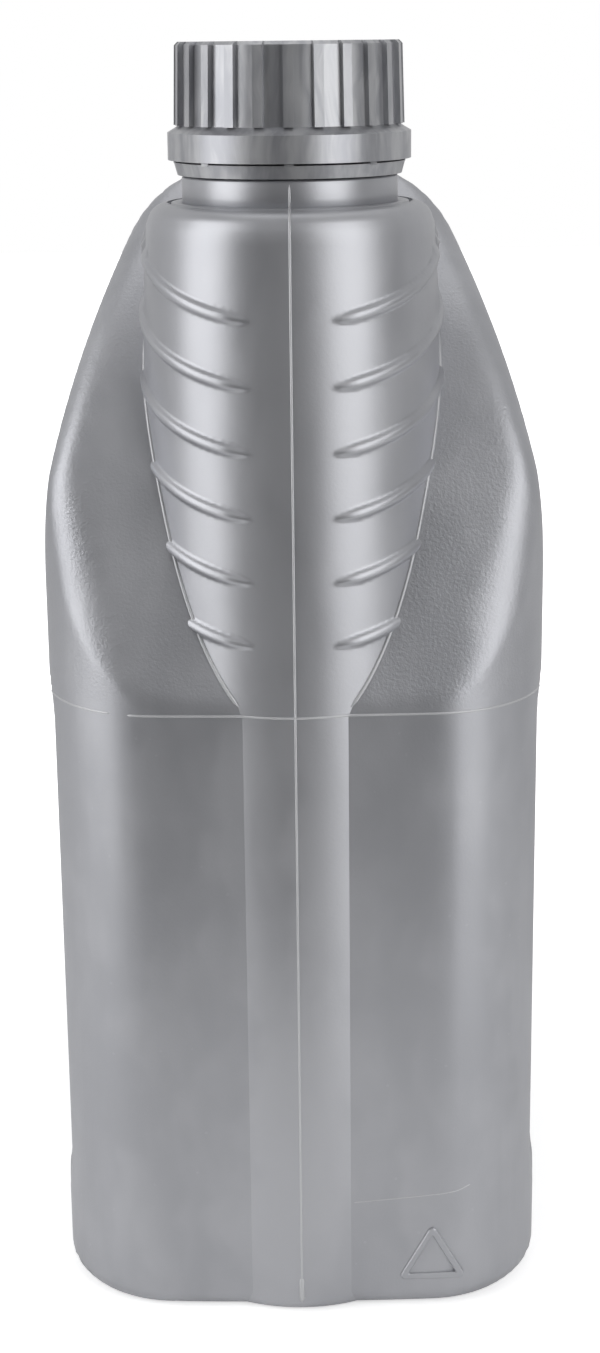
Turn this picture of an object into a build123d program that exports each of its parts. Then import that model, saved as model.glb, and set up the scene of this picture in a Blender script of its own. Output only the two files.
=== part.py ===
"""A five-litre plastic bottle for transmission fluid, with a moulded-in handle and a screw cap.

Millimetres, +Z up. The bottle stands on z = 0 with its box centred on the origin.
Its narrow front, the side with the neck, faces -Y, and its thickness runs along X.
"""
from build123d import *
import math
import os

# Overall form of the blown body
LENGTH = 190.0            # front of the column to the back face
THICKNESS = 130.6         # across the fullest part of the wide faces
WALL = 1.4                # wall of the blown bottle
SLOPE_WALL = 3.0          # the shoulder is blown thicker
FLOOR_WALL = 2.0          # the bottom is thicker than the walls
HANDLE_TOP = 303.0        # height of the top of the handle

# Plan of the body
BAND_PROUD = 2.2          # how far the column stands in front of the flat front face
SIDE_DROP = 7.0           # how much the wide faces fall away from their middle to the corners
FACE_RADIUS = 700.0       # the front and back faces are almost flat
CORNER_FRONT = 21.0
CORNER_BACK = 24.0
BASE_EDGE = 4.5           # round at the bottom edge
BASE_RIM = 11.0           # width of the ring that the bottle rests on
BASE_RISE = 2.5           # the middle of the bottom is pushed up by this

# Elevation seen from the front: upright sides, then one long arc inwards
OGIVE_START = 158.0
OGIVE_CLEAR = 0.15        # the arc starts this far outside the wide faces and cuts them at a slight angle
OGIVE_RADIUS = 260.0

# Column, the half-round pillar below the neck, which runs to the base as a band
COLUMN_RADIUS = 36.0
COLUMN_TOP = 278.0        # the flat shoulder round the neck
COLUMN_TAPER = 26.0       # the column narrows over this height below its top
COLUMN_NARROWS = 1.7
COLUMN_SOFT = 20.0        # round where it starts to narrow
BAND_EDGE = 3.5           # round at the foot of the band
COLUMN_RIM = 5.0          # round at the shoulder's edge
GROOVE_RADIUS = 30.0      # circular groove in the shoulder
GROOVE_WIDTH = 1.4
GROOVE_DEPTH = 0.8

# Flanks, the scooped slopes on both sides of the column
SCOOP_BOTTOM = 160.0
SCOOP_LEAN = 18.5         # degrees from upright at the foot of the slope
SCOOP_BEND = 205.0        # the slope is straight up to here, then an arc
SCOOP_UPPER = (57.0, 262.0)    # depth behind the column's front, and height

# Handle
HANDLE_SETBACK = 37.0     # upper rear corner of the side view: this far before the back face
HANDLE_DROP = 5.0         # and this far below the handle's top
HANDLE_TALL = 79.0        # the back face starts to lean in this far below the handle's top
HANDLE_ROUNDS = (26.0, 46.0, 60.0)
GRIP_DEPTH = 28.0         # thickness of the grip, seen from the side
GRIP_WIDTH = 40.0         # width of the grip, across the bottle
HOLE_FRONT = 100.0        # front of the finger hole, behind the column's front
HOLE_TALL_FRONT = 75.0    # the lower corners of the hole lie this far below the handle's top
HOLE_TALL_BACK = 103.0
HOLE_ROUND = 9.5
DISH_MARGIN = 9.0         # flat left round the hole on its front and lower sides
DISH_FRONT = 34.0         # how much further forward the dish's edge lies at the wide face
DISH_LOW = 20.0           # how much lower it lies there
DISH_ROUND = 14.0
GRIP_ROUND = 8.0          # rounds along the grip and round the hole
GRIP_SEAT = 12.0          # how far the grip's prism runs into the body
RIDGE_ROUND = 6.0         # round along the ridges beside the scooped slopes

# Label panels on the wide faces
PANEL_LOW = 20.0
PANEL_HIGH = 164.0
PANEL_MARGIN = 25.0       # from the front and back of the bottle
PANEL_DEPTH = 1.1
PANEL_ROUND = 12.0

# Bead ribs on the column
RIB_COUNT = 6
RIB_BELOW = 24.8          # the inner end of the highest rib lies this far below the column's top
RIB_PITCH = 15.35
RIB_TILT = 23.5           # degrees: the ribs climb towards the back
RIB_RADIUS = 1.6
RIB_SUNK = 0.45           # how far the rib's centre lies inside the column's surface
RIB_INNER = 9.6           # half of the bare strip between the ribs' inner ends
RIB_TIP = 6.0             # length of the tapered inner end
RIB_TIP_SUNK = 1.8        # how far the end of the taper lies below the bar's middle
RIB_TIP_RADIUS = 0.5
RIB_REACH = 104.0         # degrees round the column from its front to the rib's outer end

# Raised triangle for touch
SIGN_SIDE = 18.0
SIGN_LINE = 1.7
SIGN_PROUD = 0.5
SIGN_X = 33.5
SIGN_LOW = 7.8

# Neck
BORE_RADIUS = 20.8
NECK_RADIUS = 22.6
COLLAR_RADIUS = 25.8
COLLAR_TALL = 6.2
BEAD_PROUD = 1.4          # ring that holds the tamper ring down
BEAD_OFFSET = 0.2         # its lower side lies this far above the cap's lower end
BEAD_TALL = 2.2

# Screw cap
CAP_TALL = 27.0
CAP_PLATE = 2.0
CAP_GRIP_RADIUS = 26.1    # between the ribs
CAP_TAPER = 0.5           # the grip is this much narrower at the top
CAP_RIB_COUNT = 24
CAP_RIB_WIDTH = 2.3
CAP_RIB_PROUD = 1.3
CAP_SKIRT_TALL = 6.3      # plain skirt below the grip
CAP_FLARE_TALL = 1.7      # slope from the skirt up to the grip
CAP_SKIRT_RADIUS = 29.0
THREAD_PLAY = 2.3         # play between the neck and the cap's bore, where the thread is
CAP_EDGE = 0.8
WAD_THICKNESS = 1.5
WAD_CLEARANCE = 0.3      # round the wad's edge
SEAL_CLEARANCE = 0.1     # between the wad and the mouth

# Tamper ring
RING_CLEARANCE = 0.3      # above the collar
RING_TALL = 3.0
RING_SLIT = 0.5           # gap below the cap's skirt
RING_RADIUS_TOP = 27.6
RING_RADIUS_LOW = 26.8
RING_PLAY = 0.8           # round the neck
BRIDGE_COUNT = 8
BRIDGE_WIDTH = 2.2
BRIDGE_DEPTH = 1.2
BRIDGE_CLEARANCE = 0.15

FRONT = -LENGTH / 2
BACK = LENGTH / 2
FRONT_FACE = FRONT + BAND_PROUD
AXIS_Y = FRONT + COLUMN_RADIUS       # the neck and column share this upright axis
HALF_THICK = THICKNESS / 2
COLLAR_TOP = COLUMN_TOP + COLLAR_TALL
RING_LOW = COLLAR_TOP + RING_CLEARANCE
CAP_LOW = RING_LOW + RING_TALL + RING_SLIT
CAP_TOP = CAP_LOW + CAP_TALL
CAP_FLARE_LOW = CAP_LOW + CAP_SKIRT_TALL
CAP_GRIP_LOW = CAP_FLARE_LOW + CAP_FLARE_TALL
CAP_BORE_RADIUS = NECK_RADIUS + THREAD_PLAY
MOUTH_HEIGHT = CAP_TOP - CAP_PLATE - WAD_THICKNESS - SEAL_CLEARANCE


def behind(depth):
    """Y of a point that lies this far behind the column's front."""
    return FRONT + depth


def turned(profile):
    """A closed profile of radius and height points, turned about the neck's axis."""
    face = Plane.XZ * make_face(Polyline(*profile, close=True))
    return Pos(0, AXIS_Y, 0) * revolve(face, Axis.Z)


def turned_ring(r_in, r_out, z_low, z_high):
    """A plain ring, or a disc where r_in is 0, about the neck's axis."""
    return turned([(r_in, z_low), (r_out, z_low), (r_out, z_high), (r_in, z_high)])


def plan_face(inset):
    """Outline of the body seen from above, moved in by inset: two bowed sides, two almost flat ends."""
    half = HALF_THICK - inset
    front = FRONT_FACE + inset
    back = BACK - inset
    middle = (front + back) / 2
    corner = half - SIDE_DROP
    sag = corner ** 2 / (2 * FACE_RADIUS)
    outline = [
        ThreePointArc((-corner, front + sag), (0, front), (corner, front + sag)),
        ThreePointArc((corner, front + sag), (half, middle), (corner, back - sag)),
        ThreePointArc((corner, back - sag), (0, back), (-corner, back - sag)),
        ThreePointArc((-corner, back - sag), (-half, middle), (-corner, front + sag)),
    ]
    face = make_face(outline)
    ends = face.vertices().sort_by(Axis.Y)
    face = fillet(ends[:2], CORNER_FRONT - inset)
    ends = face.vertices().group_by(Axis.Y)[-1]
    return fillet(ends, CORNER_BACK - inset)


def elevation_face(inset):
    """Outline of the body seen from the front: upright, then an arc in towards the handle."""
    half = HALF_THICK + OGIVE_CLEAR - inset
    radius = OGIVE_RADIUS - inset
    top = HANDLE_TOP - inset
    start = OGIVE_START

    def half_at(z):
        return half - radius + math.sqrt(radius ** 2 - (z - start) ** 2)

    mid_z = (start + top) / 2
    low = -1.0
    right = [
        Line((half, low), (half, start)),
        ThreePointArc((half, start), (half_at(mid_z), mid_z), (half_at(top), top)),
    ]
    left = [
        Line((-half, low), (-half, start)),
        ThreePointArc((-half, start), (-half_at(mid_z), mid_z), (-half_at(top), top)),
    ]
    ends = [
        Line((-half, low), (half, low)),
        Line((-half_at(top), top), (half_at(top), top)),
    ]
    return Plane.XZ * make_face(right + left + ends)


def side_face(inset):
    """Outline of the body seen from the side: upright front, straight and then scooped slope, handle, back.

    Inside the wall the slope lies deeper, so that the square inner ridges stay under the round outer ones.
    """
    ahead = FRONT - 5
    sunk = inset * SLOPE_WALL / WALL
    lean = math.radians(SCOOP_LEAN)
    foot = (FRONT_FACE + sunk, SCOOP_BOTTOM)
    bend = (foot[0] + (SCOOP_BEND - SCOOP_BOTTOM) * math.tan(lean), SCOOP_BEND)
    upper = (behind(SCOOP_UPPER[0]) + sunk, SCOOP_UPPER[1])
    scoop = TangentArc(bend, upper, tangent=(math.sin(lean), math.cos(lean)))
    climb = scoop % 1
    top = HANDLE_TOP - inset
    corners = [
        upper,
        (upper[0] + climb.X / climb.Y * (top - upper[1]), top),
        (BACK - HANDLE_SETBACK - inset / 2, top - HANDLE_DROP),
        (BACK - inset, HANDLE_TOP - HANDLE_TALL),
        (BACK - inset, -1),
    ]
    outline = [
        Polyline(corners[-1], (ahead, -1), (ahead, SCOOP_BOTTOM), foot, bend),
        scoop,
        FilletPolyline(*corners, radius=[r - inset for r in HANDLE_ROUNDS]),
    ]
    return Plane.YZ * make_face(outline)


def inner_corner(before, corner, after, inset):
    """The corner of a path, moved in by the same distance from both of its sides."""
    first = (Vector(*corner) - Vector(*before)).normalized()
    second = (Vector(*after) - Vector(*corner)).normalized()
    inward = Vector(first.Y, -first.X)
    along = inset * math.tan(math.radians(first.get_angle(second) / 2))
    moved = Vector(*corner) + inward * inset - first * along
    return (moved.X, moved.Y)


def hole_corners():
    """Corners of the finger hole seen from the side: its top and back follow the handle's outline."""
    start = (behind(HOLE_FRONT), HANDLE_TOP)
    corner = (BACK - HANDLE_SETBACK, HANDLE_TOP - HANDLE_DROP)
    shoulder = (BACK, HANDLE_TOP - HANDLE_TALL)
    high_back = inner_corner(start, corner, shoulder, GRIP_DEPTH)
    mid_back = inner_corner(corner, shoulder, (BACK, 0), GRIP_DEPTH)
    front = behind(HOLE_FRONT)
    lean = (corner[1] - start[1]) / (corner[0] - start[0])
    high_front = (front, high_back[1] + lean * (front - high_back[0]))
    low_front = (front, HANDLE_TOP - HOLE_TALL_FRONT)
    low_back = (mid_back[0], HANDLE_TOP - HOLE_TALL_BACK)
    return [low_front, high_front, high_back, mid_back, low_back]


def hole_cutter(inset):
    """The finger hole, straight through the bottle; grown by inset for the inside of its wall."""
    face = make_face(Polyline(*hole_corners(), close=True))
    face = fillet(face.vertices(), HOLE_ROUND)
    if inset:
        face = offset(face, inset)
    return extrude(Plane.YZ * face, THICKNESS, both=True)


def dish_face(spread_front, spread_low, corner_round):
    """Side view of the dish beside the handle: open at the top and back, its low edge falls to the back."""
    front_low, *_, back_low = hole_corners()
    slope = (back_low[1] - front_low[1]) / (back_low[0] - front_low[0])
    beyond = LENGTH
    front = front_low[0] - DISH_MARGIN - spread_front
    low = front_low[1] - DISH_MARGIN - spread_low
    points = [
        (front, low),
        (front, HANDLE_TOP + DISH_MARGIN),
        (beyond, HANDLE_TOP + DISH_MARGIN),
        (beyond, low + slope * (beyond - front)),
    ]
    face = make_face(Polyline(*points, close=True))
    near = face.vertices().sort_by_distance((front, low, 0))[0]
    return fillet(near, corner_round)


def dish_cutter(inset):
    """The space beside the grip, on both sides: a straight middle and walls that open out to the sides."""
    floor = GRIP_WIDTH / 2 - inset
    out = HALF_THICK + DISH_MARGIN
    share = (out - floor) / (out - GRIP_WIDTH / 2)
    inner = dish_face(inset, inset, DISH_ROUND)
    outer = dish_face(DISH_FRONT * share + inset, DISH_LOW * share + inset, DISH_ROUND * 1.6)
    side = loft([Plane.YZ.offset(floor) * inner, Plane.YZ.offset(out) * outer], ruled=True)
    return extrude(Plane.YZ * inner, floor, both=True) + side + mirror(side, Plane.YZ)


def build_grip(inset):
    """The grip and the web round the finger hole: a prism with the hole in it, rounded along its edges."""
    half = GRIP_WIDTH / 2 - inset
    front_low, *_, back_low = hole_corners()
    front = front_low[0] - DISH_MARGIN - GRIP_SEAT
    low = back_low[1] - DISH_MARGIN - DISH_LOW
    window = Plane.YZ * Pos(front, low) * Rectangle(LENGTH, HANDLE_TOP, align=(Align.MIN, Align.MIN))
    prism = extrude(side_face(inset) & window, half, both=True)
    prism -= hole_cutter(inset)
    sides = prism.faces().group_by(Axis.X)
    return fillet(sides[0].edges() + sides[-1].edges(), GRIP_ROUND - inset)


def panel_cutter(inset):
    """The shallow recess for a label on both wide faces."""
    tall = PANEL_HIGH - PANEL_LOW
    long = LENGTH - 2 * PANEL_MARGIN
    window = RectangleRounded(long + 2 * inset, tall + 2 * inset, PANEL_ROUND + inset)
    middle = (PANEL_HIGH + PANEL_LOW) / 2
    through = extrude(Plane.YZ * Pos(0, middle) * window, THICKNESS, both=True)
    skin = extrude(plan_face(-PANEL_DEPTH) - plan_face(PANEL_DEPTH + inset), PANEL_HIGH + PANEL_LOW)
    return through & skin


def ridge_edges(body):
    """The ridges beside the scooped slopes: edges above the scoops' foot that don't cross the middle."""
    edges = []
    for edge in body.edges():
        box = edge.bounding_box()
        aside = box.min.X * box.max.X > 0
        if aside and box.min.Z > SCOOP_BOTTOM - 1 and box.max.Y < behind(HOLE_FRONT):
            edges.append(edge)
    return edges


def build_form(inset):
    """The closed form of the blown body without its column, moved in by inset."""
    tall = HANDLE_TOP + 10
    plan = extrude(plan_face(inset), tall)
    plan = fillet(plan.edges().group_by(Axis.Z)[0], BASE_EDGE - inset)
    front_view = extrude(elevation_face(inset), LENGTH, both=True)
    side_view = extrude(side_face(inset), THICKNESS, both=True)
    body = plan & front_view & side_view
    if inset == 0:
        body = body.fillet(RIDGE_ROUND, ridge_edges(body))
    body -= dish_cutter(inset)
    body += build_grip(inset) & plan
    return body - panel_cutter(inset)


def build_column(inset):
    """The pillar from the base to the shoulder, a little narrower at its top."""
    wide = COLUMN_RADIUS - inset
    narrow = COLUMN_RADIUS - COLUMN_NARROWS - inset
    low = inset
    top = COLUMN_TOP - inset
    path = FilletPolyline(
        (0, low), (wide, low), (wide, COLUMN_TOP - COLUMN_TAPER), (narrow, top), (0, top),
        radius=[BAND_EDGE - inset, COLUMN_SOFT, COLUMN_RIM - inset],
    )
    face = Plane.XZ * make_face([path, Line((0, top), (0, low))])
    return Pos(0, AXIS_Y, 0) * revolve(face, Axis.Z)


def build_rib(index):
    """One bead on the column's +X side: a round bar along the slanted ring, with a tapered inner end."""
    across = COLUMN_RADIUS - RIB_SUNK
    along = across / math.cos(math.radians(RIB_TILT))
    start = math.degrees(math.asin(RIB_INNER / across))
    full = math.degrees(math.asin((RIB_INNER + RIB_TIP) / across))
    rise = across * math.tan(math.radians(RIB_TILT)) * math.cos(math.radians(start))
    middle = Vector(0, AXIS_Y, COLUMN_TOP - RIB_BELOW - RIB_PITCH * index + rise)
    slant = Plane(middle, x_dir=(1, 0, 0), z_dir=(0, 0, 1)).rotated((RIB_TILT, 0, 0))
    ahead = -90
    path = slant * EllipticalCenterArc((0, 0), across, along, ahead + full, arc_size=RIB_REACH - full)
    sunk = (across - RIB_TIP_SUNK, along - RIB_TIP_SUNK)
    lead = slant * EllipticalCenterArc((0, 0), *sunk, ahead + start, arc_size=full - start)
    section = Plane(path @ 0, z_dir=path % 0)
    end = Plane(lead @ 0, x_dir=section.x_dir, z_dir=path % 0)
    tip = loft([end * Circle(RIB_TIP_RADIUS), section * Circle(RIB_RADIUS)], ruled=True)
    return sweep(section * Circle(RIB_RADIUS), path) + tip


def build_sign():
    """The raised warning triangle that can be felt, on the front face near the base."""
    height = SIGN_SIDE * math.sqrt(3) / 2
    outer = Polygon((0, 0), (SIGN_SIDE, 0), (SIGN_SIDE / 2, height), align=None)
    frame = outer - offset(outer, -SIGN_LINE)
    place = Plane.XZ * Pos(SIGN_X - SIGN_SIDE / 2, SIGN_LOW)
    bar = extrude(place * frame, LENGTH / 2)
    skin = extrude(plan_face(-SIGN_PROUD) - plan_face(WALL / 2), SIGN_LOW + SIGN_SIDE)
    return bar & skin


def build_neck():
    """Collar and neck, standing on the shoulder, with the bead that holds the tamper ring down."""
    bead_low = CAP_LOW + BEAD_OFFSET
    return turned([
        (BORE_RADIUS, COLUMN_TOP), (COLLAR_RADIUS, COLUMN_TOP), (COLLAR_RADIUS, COLLAR_TOP),
        (NECK_RADIUS, COLLAR_TOP), (NECK_RADIUS, bead_low), (NECK_RADIUS + BEAD_PROUD, bead_low),
        (NECK_RADIUS, bead_low + BEAD_TALL), (NECK_RADIUS, MOUTH_HEIGHT), (BORE_RADIUS, MOUTH_HEIGHT),
    ])


def build_bottle():
    """The blown body, hollow and open in the middle of its shoulder."""
    outside = build_form(0) + build_column(0)
    for index in range(RIB_COUNT):
        rib = build_rib(index)
        outside += rib + mirror(rib, Plane.YZ)
    outside += build_sign()
    groove_in = GROOVE_RADIUS - GROOVE_WIDTH / 2
    groove_out = GROOVE_RADIUS + GROOVE_WIDTH / 2
    outside -= turned_ring(groove_in, groove_out, COLUMN_TOP - GROOVE_DEPTH, COLUMN_TOP)
    outside -= extrude(plan_face(BASE_RIM), BASE_RISE)
    inside = build_form(WALL) + build_column(WALL)
    inside -= Box(LENGTH, 2 * LENGTH, 2 * (BASE_RISE + FLOOR_WALL))
    bore = turned_ring(0, BORE_RADIUS, COLUMN_TOP - COLUMN_RIM, COLUMN_TOP)
    return outside - (inside + bore)


def build_cap():
    """The screw cap: a ribbed grip over a plain skirt, open below."""
    under = CAP_TOP - CAP_PLATE
    grip_top = CAP_GRIP_RADIUS - CAP_TAPER
    shell = turned([
        (0, CAP_TOP), (grip_top - CAP_EDGE, CAP_TOP), (grip_top, CAP_TOP - CAP_EDGE),
        (CAP_GRIP_RADIUS, CAP_GRIP_LOW), (CAP_SKIRT_RADIUS, CAP_FLARE_LOW),
        (CAP_SKIRT_RADIUS, CAP_LOW), (CAP_BORE_RADIUS, CAP_LOW), (CAP_BORE_RADIUS, under), (0, under),
    ])
    tall = CAP_TOP - CAP_GRIP_LOW
    reach = CAP_GRIP_RADIUS + CAP_RIB_PROUD
    sunk = CAP_GRIP_RADIUS - CAP_TAPER - CAP_EDGE
    profile = [
        (sunk, 0), (reach, 0), (reach - CAP_TAPER, tall - CAP_EDGE),
        (reach - CAP_TAPER - CAP_EDGE, tall), (sunk, tall),
    ]
    rib = extrude(Plane.XZ * make_face(Polyline(*profile, close=True)), CAP_RIB_WIDTH / 2, both=True)
    middle = Pos(0, AXIS_Y, CAP_GRIP_LOW)
    return shell + [middle * place * rib for place in PolarLocations(0, CAP_RIB_COUNT)]


def build_wad():
    """The sealing wad between the cap's plate and the mouth."""
    top = CAP_TOP - CAP_PLATE
    return turned_ring(0, CAP_BORE_RADIUS - WAD_CLEARANCE, top - WAD_THICKNESS, top)


def build_tamper_ring():
    """The ring that stays on the neck when the cap is first opened, with the stubs of its bridges."""
    top = RING_LOW + RING_TALL
    bore = NECK_RADIUS + RING_PLAY
    ring = turned([(bore, RING_LOW), (RING_RADIUS_LOW, RING_LOW), (RING_RADIUS_TOP, top), (bore, top)])
    tall = RING_SLIT - BRIDGE_CLEARANCE
    stub = Pos(RING_RADIUS_TOP - BRIDGE_DEPTH, 0, top - tall) * Box(
        BRIDGE_DEPTH, BRIDGE_WIDTH, 2 * tall, align=(Align.MIN, Align.CENTER, Align.MIN))
    middle = Pos(0, AXIS_Y, 0)
    return ring + [middle * place * stub for place in PolarLocations(0, BRIDGE_COUNT)]


def main():
    nodes = {
        "bottle": build_bottle(),
        "neck": build_neck(),
        "screw_cap": build_cap(),
        "sealing_wad": build_wad(),
        "tamper_ring": build_tamper_ring(),
    }
    os.makedirs("parts", exist_ok=True)
    for name, shape in nodes.items():
        export_step(shape, f"parts/{name}.step")


main()
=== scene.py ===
"""Looks of the transmission fluid bottle: satin grey blown plastic, ribbed column, screw cap.

All shape functions work in millimetres and the meshes are written in metres.
"""
import math

import bpy
import numpy as np
from mathutils import Euler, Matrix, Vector


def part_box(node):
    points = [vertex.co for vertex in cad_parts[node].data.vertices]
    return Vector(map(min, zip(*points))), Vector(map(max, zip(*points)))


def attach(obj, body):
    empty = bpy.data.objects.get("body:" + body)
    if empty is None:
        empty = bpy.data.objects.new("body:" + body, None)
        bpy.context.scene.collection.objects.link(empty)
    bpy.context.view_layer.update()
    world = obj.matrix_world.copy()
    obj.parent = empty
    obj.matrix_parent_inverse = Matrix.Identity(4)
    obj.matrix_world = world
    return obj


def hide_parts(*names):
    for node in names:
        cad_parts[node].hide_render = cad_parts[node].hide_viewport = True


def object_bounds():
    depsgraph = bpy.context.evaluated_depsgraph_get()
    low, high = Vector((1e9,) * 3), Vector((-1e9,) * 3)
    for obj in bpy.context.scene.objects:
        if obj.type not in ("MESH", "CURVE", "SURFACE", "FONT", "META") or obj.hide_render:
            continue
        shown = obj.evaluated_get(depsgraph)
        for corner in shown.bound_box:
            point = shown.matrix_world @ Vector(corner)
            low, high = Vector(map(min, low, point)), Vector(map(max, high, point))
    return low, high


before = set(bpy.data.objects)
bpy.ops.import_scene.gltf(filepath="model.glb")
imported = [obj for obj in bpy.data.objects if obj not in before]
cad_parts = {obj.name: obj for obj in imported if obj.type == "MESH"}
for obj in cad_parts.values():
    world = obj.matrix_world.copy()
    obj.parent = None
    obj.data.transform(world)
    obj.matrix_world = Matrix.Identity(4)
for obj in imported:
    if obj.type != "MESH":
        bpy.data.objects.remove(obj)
cad_low, cad_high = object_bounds()

MM = 0.001
TINY = 1e-9

# Main sizes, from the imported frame
HALF_THICK = cad_high[0] / MM
FRONT = cad_low[1] / MM
BACK = cad_high[1] / MM
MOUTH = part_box("neck")[1][2] / MM

# Plan
BAND_PROUD = 2.2
FRONT_FACE = FRONT + BAND_PROUD
SIDE_DROP = 7.0
FACE_RADIUS = 700.0
CORNER_FRONT, CORNER_BACK = 21.0, 24.0
CORNER_WEIGHT = 0.7425    # brings the corner curves close to circular arcs
BASE_ROUND = 4.5
BASE_RIM, BASE_RISE = 11.0, 2.5

# Side view
SCOOP_FOOT, SCOOP_LEAN, SCOOP_BEND = 160.0, 18.5, 205.0
SCOOP_UPPER = (57.0, 262.0)
HANDLE_TOP = 303.0
HANDLE_BACK = (153.0, 298.0)
BACK_SHOULDER = 224.0
HANDLE_ROUNDS = (26.0, 46.0, 60.0)
HOLE_FRONT, HOLE_LOW_FRONT, HOLE_LOW_BACK = 100.0, 228.0, 200.0
GRIP_DEPTH, HOLE_ROUND = 28.0, 9.5
GRIP_HALF = 20.0
GRIP_EDGE = 8.0
RIDGE_ROUND = 6.0

# Front view
OGIVE_START, OGIVE_CLEAR, OGIVE_RADIUS = 158.0, 0.15, 260.0

# Dishes beside the grip
DISH_MARGIN, DISH_FRONT, DISH_LOW, DISH_ROUND = 9.0, 34.0, 20.0, 14.0
DISH_WALL_SCALE, DISH_FLOOR_SCALE = 0.86, 0.83    # turn slanted heights into distances

# Label panels
PANEL_LOW, PANEL_HIGH, PANEL_MARGIN, PANEL_DEPTH, PANEL_ROUND = 20.0, 164.0, 25.0, 1.1, 12.0

# Column
COLUMN_RADIUS, COLUMN_TOP, COLUMN_BEND = 36.0, 278.0, 252.0
COLUMN_NARROWS, COLUMN_RIM, BAND_EDGE = 1.7, 5.0, 3.5
COLUMN_WALL = 2.5
AXIS_Y = FRONT + COLUMN_RADIUS
GROOVE_RADIUS, GROOVE_WIDTH, GROOVE_DEPTH = 30.0, 1.4, 0.8
RIB_COUNT, RIB_TOP, RIB_PITCH, RIB_TILT = 6, 253.2, 15.35, 23.5
RIB_RADIUS, RIB_SUNK, RIB_INNER, RIB_TIP, RIB_REACH = 1.6, 0.45, 8.8, 7.5, 104.0

# Neck
BORE, NECK_RADIUS, COLLAR_RADIUS, COLLAR_TOP = 20.8, 22.6, 25.8, 284.2
BEAD_RADIUS, BEAD_LOW = 24.0, 288.2
CAP_BORE, CAP_LOW, CAP_THREAD = 24.9, 288.0, 1.5
THREAD_DEPTH, THREAD_LEAD, THREAD_LOW, THREAD_HIGH = 1.7, 6.0, 292.6, 308.6

# Hollow
HOLLOW_INSET = 13.0
HOLLOW_COLUMN = 29.0

# Contouring grid: stretches from, to and step along each axis, finest at the foot of the slopes
GRID_X = [(-67, 69, 2.2)]
GRID_Y = [(-97, -68, 1.2), (-68, 99, 2.3)]
GRID_Z = [(-2, 149, 2.6), (149, 188, 1.0), (188, 307, 1.9)]

# Mould lines
LINE_RADIUS, LINE_SUNK = 0.34, 0.12

# Raised triangle for touch
SIGN_SIDE, SIGN_LINE, SIGN_PROUD, SIGN_X, SIGN_LOW = 18.0, 1.7, 0.5, 33.5, 7.8


def behind(depth):
    return FRONT + depth


# Outlines

def rounded_outline(points, radii, step=1.5):
    """A closed outline with its corners turned into arcs: a corner of radius r starts and ends
    r*tan(turn/2) away from its point, and the arc between is sampled about every step mm."""
    points = np.array(points, float)
    pieces = []
    for before, corner, after, radius in zip(np.roll(points, 1, 0), points, np.roll(points, -1, 0), radii):
        if radius <= 0:
            pieces.append(corner[None])
            continue
        into = (corner - before) / np.linalg.norm(corner - before)
        out = (after - corner) / np.linalg.norm(after - corner)
        turn = math.atan2(into[0] * out[1] - into[1] * out[0], into @ out)
        side = np.array([-into[1], into[0]]) * math.copysign(1, turn)
        start = corner - into * radius * math.tan(abs(turn) / 2)
        count = max(4, int(radius * abs(turn) / step) + 2)
        swept = np.linspace(0, abs(turn), count)[:, None]
        centre = start + side * radius
        pieces.append(centre - side * radius * np.cos(swept) + into * radius * np.sin(swept))
    return np.concatenate(pieces)


def outline_distance(outline, u, v):
    """Signed distance to a closed outline, negative inside: the least distance to any of its sides,
    with the sign from how many sides a ray from the point crosses."""
    shape = np.broadcast(u, v).shape
    p = np.stack([np.broadcast_to(u, shape).ravel(), np.broadcast_to(v, shape).ravel()], 1)
    a, b = outline, np.roll(outline, -1, 0)
    side = b - a
    keep = (side ** 2).sum(1) > TINY
    a, b, side = a[keep], b[keep], side[keep]
    square = (side ** 2).sum(1)
    result = np.empty(len(p))
    for lo in range(0, len(p), 30000):
        q = p[lo:lo + 30000, None, :] - a[None]
        along = np.clip((q * side).sum(2) / square, 0, 1)
        apart = ((q - along[..., None] * side) ** 2).sum(2).min(1)
        y = p[lo:lo + 30000, 1, None]
        over = (a[:, 1] > y) != (b[:, 1] > y)
        with np.errstate(divide="ignore", invalid="ignore"):
            cross = a[:, 0] + (y - a[:, 1]) * side[:, 0] / side[:, 1]
        inside = (over & (p[lo:lo + 30000, 0, None] < cross)).sum(1) % 2 == 1
        result[lo:lo + 30000] = np.sqrt(apart) * np.where(inside, -1, 1)
    return result.reshape(shape)


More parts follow.
